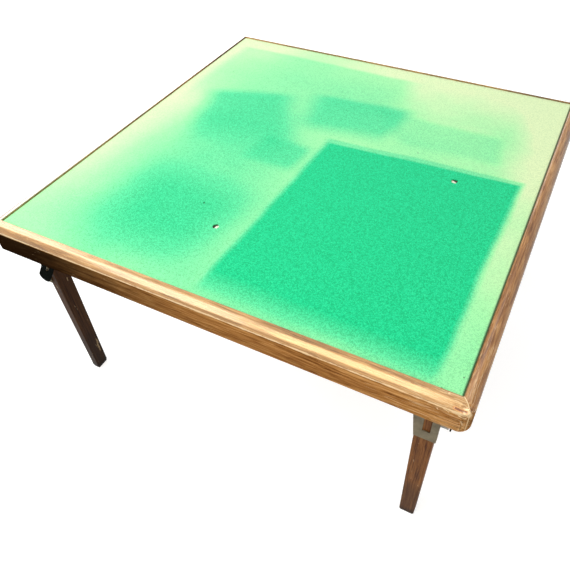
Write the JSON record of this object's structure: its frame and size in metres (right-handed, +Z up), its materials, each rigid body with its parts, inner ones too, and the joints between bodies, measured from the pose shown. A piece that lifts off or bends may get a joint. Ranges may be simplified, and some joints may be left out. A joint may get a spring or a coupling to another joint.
{
  "type": "folding card table",
  "caption": "Low square folding card table: a recessed green baize top in rounded wooden rails, on slim legs that fold flat beside the rails on steel sockets with slotted stays.",
  "frame": {"origin": "on the floor under the middle of the top", "axes": "+Z up, -Y towards the front rail, +X towards the right rail"},
  "size_m": [0.76, 0.76, 0.395],
  "materials": {
    "stained_wood": "satin",
    "plain_wood": "matte",
    "plywood": "matte",
    "green_baize": "matte",
    "grey_steel": "satin",
    "dark_steel": "satin",
    "bright_steel": "satin",
    "black_rubber": "matte"
  },
  "bodies": {
    "table_top": {"back_batten": "plain_wood", "back_rail": "stained_wood", "baize": "green_baize", "batten_screws": "bright_steel", "bracket_screws": "bright_steel", "corner_block_back_left": "plain_wood", "corner_block_back_right": "plain_wood", "corner_block_front_left": "plain_wood", "corner_block_front_right": "plain_wood", "front_batten": "plain_wood", "front_rail": "stained_wood", "hinge_bracket_back_left": "dark_steel", "hinge_bracket_back_right": "dark_steel", "hinge_bracket_front_left": "dark_steel", "hinge_bracket_front_right": "dark_steel", "hinge_pin_back_left": "bright_steel", "hinge_pin_back_right": "bright_steel", "hinge_pin_front_left": "bright_steel", "hinge_pin_front_right": "bright_steel", "left_rail": "stained_wood", "mitre_key_back_left": "plain_wood", "mitre_key_back_right": "plain_wood", "mitre_key_front_left": "plain_wood", "mitre_key_front_right": "plain_wood", "right_rail": "stained_wood", "stay_screws": "bright_steel", "top_panel": "plywood"},
    "folding_leg_front_left": {"leg_front_left": "stained_wood", "leg_socket_front_left": "grey_steel", "leg_screws_front_left": "bright_steel", "stay_stud_front_left": "bright_steel", "foot_pad_front_left": "black_rubber"},
    "slotted_stay_front_left": {"stay_front_left": "dark_steel"},
    "folding_leg_front_right": {"leg_front_right": "stained_wood", "leg_socket_front_right": "grey_steel", "leg_screws_front_right": "bright_steel", "stay_stud_front_right": "bright_steel", "foot_pad_front_right": "black_rubber"},
    "slotted_stay_front_right": {"stay_front_right": "dark_steel"},
    "folding_leg_back_right": {"leg_back_right": "stained_wood", "leg_socket_back_right": "grey_steel", "leg_screws_back_right": "bright_steel", "stay_stud_back_right": "bright_steel", "foot_pad_back_right": "black_rubber"},
    "slotted_stay_back_right": {"stay_back_right": "dark_steel"},
    "folding_leg_back_left": {"leg_back_left": "stained_wood", "leg_socket_back_left": "grey_steel", "leg_screws_back_left": "bright_steel", "stay_stud_back_left": "bright_steel", "foot_pad_back_left": "black_rubber"},
    "slotted_stay_back_left": {"stay_back_left": "dark_steel"}
  },
  "joints": [
    {"name": "fold_leg_front_left", "type": "hinge", "parent": "table_top", "child": "folding_leg_front_left", "pos_m": [-0.338, -0.3275, 0.369], "axis": [0, -1, 0], "range_deg": [0, 90]},
    {"name": "lift_stay_front_left", "type": "hinge", "parent": "table_top", "child": "slotted_stay_front_left", "pos_m": [-0.27701, -0.3577, 0.3615], "axis": [0, -1, 0], "range_deg": [0, 123.5]},
    {"name": "fold_leg_front_right", "type": "hinge", "parent": "table_top", "child": "folding_leg_front_right", "pos_m": [0.3275, -0.338, 0.369], "axis": [1, 0, 0], "range_deg": [0, 90]},
    {"name": "lift_stay_front_right", "type": "hinge", "parent": "table_top", "child": "slotted_stay_front_right", "pos_m": [0.3577, -0.27701, 0.3615], "axis": [1, 0, 0], "range_deg": [0, 123.5]},
    {"name": "fold_leg_back_right", "type": "hinge", "parent": "table_top", "child": "folding_leg_back_right", "pos_m": [0.338, 0.3275, 0.369], "axis": [0, 1, 0], "range_deg": [0, 90]},
    {"name": "lift_stay_back_right", "type": "hinge", "parent": "table_top", "child": "slotted_stay_back_right", "pos_m": [0.27701, 0.3577, 0.3615], "axis": [0, 1, 0], "range_deg": [0, 123.5]},
    {"name": "fold_leg_back_left", "type": "hinge", "parent": "table_top", "child": "folding_leg_back_left", "pos_m": [-0.3275, 0.338, 0.369], "axis": [-1, 0, 0], "range_deg": [0, 90]},
    {"name": "lift_stay_back_left", "type": "hinge", "parent": "table_top", "child": "slotted_stay_back_left", "pos_m": [-0.3577, 0.27701, 0.3615], "axis": [-1, 0, 0], "range_deg": [0, 123.5]}
  ],
  "couplings": [
    {"joint": "lift_stay_front_left", "follows": "fold_leg_front_left", "ratio": 1.3722},
    {"joint": "lift_stay_front_right", "follows": "fold_leg_front_right", "ratio": 1.3722},
    {"joint": "lift_stay_back_right", "follows": "fold_leg_back_right", "ratio": 1.3722},
    {"joint": "lift_stay_back_left", "follows": "fold_leg_back_left", "ratio": 1.3722}
  ]
}
